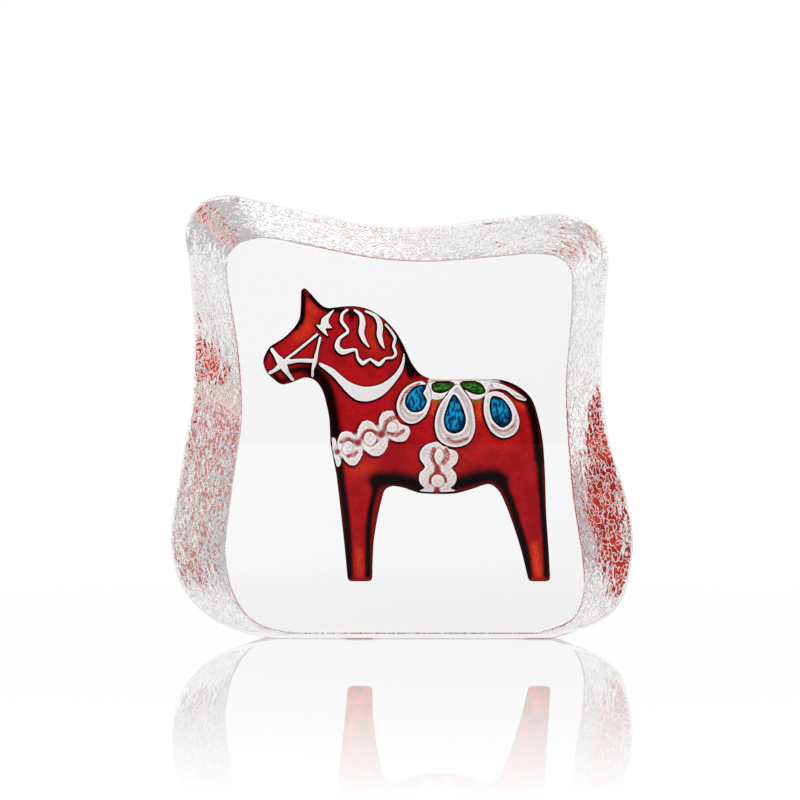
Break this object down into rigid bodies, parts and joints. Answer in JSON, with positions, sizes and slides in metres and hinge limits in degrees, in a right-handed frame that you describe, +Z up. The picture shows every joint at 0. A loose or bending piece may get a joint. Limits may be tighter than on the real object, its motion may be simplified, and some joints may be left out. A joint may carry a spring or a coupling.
{
  "type": "dala horse crystal block",
  "caption": "Free-standing cast crystal block with a flared wavy outline and rough side walls. A painted horse relief is sunk in its back and seen through the polished front.",
  "frame": {"origin": "middle of the ground base, under the middle of the block's depth", "axes": "+Z up, +X right as seen from the front, +Y from the polished front face to the back face"},
  "size_m": [0.12, 0.032, 0.1152],
  "materials": {
    "crystal": "clear cast crystal, polished front, back and base, rough cast side walls",
    "red_enamel": "deep red enamel, shaded to near black at its edges",
    "white_enamel": "white enamel with a thin dark outline",
    "blue_enamel": "blue enamel with dark brush streaks",
    "green_enamel": "green enamel, darker at its edges"
  },
  "bodies": {
    "root": {"blue_drop_front": "blue_enamel", "blue_drop_middle": "blue_enamel", "blue_drop_rear": "blue_enamel", "breast_core_front": "white_enamel", "breast_core_middle": "white_enamel", "breast_core_rear": "white_enamel", "breast_link_edge": "white_enamel", "breast_link_front": "white_enamel", "breast_link_middle": "white_enamel", "breast_link_rear": "white_enamel", "bridle_straps": "white_enamel", "brow_knot": "white_enamel", "collar_band": "white_enamel", "crystal_block": "crystal", "girth_almond": "white_enamel", "girth_band": "white_enamel", "girth_oval": "white_enamel", "green_leaf_front": "green_enamel", "green_leaf_rear": "green_enamel", "mane_lock_front": "white_enamel", "mane_lock_rear": "white_enamel", "mane_scroll": "white_enamel", "red_body_coat": "red_enamel", "saddle_band": "white_enamel", "white_petal_far": "white_enamel", "white_petal_front": "white_enamel", "white_petal_middle": "white_enamel", "white_petal_rear": "white_enamel"}
  },
  "joints": []
}
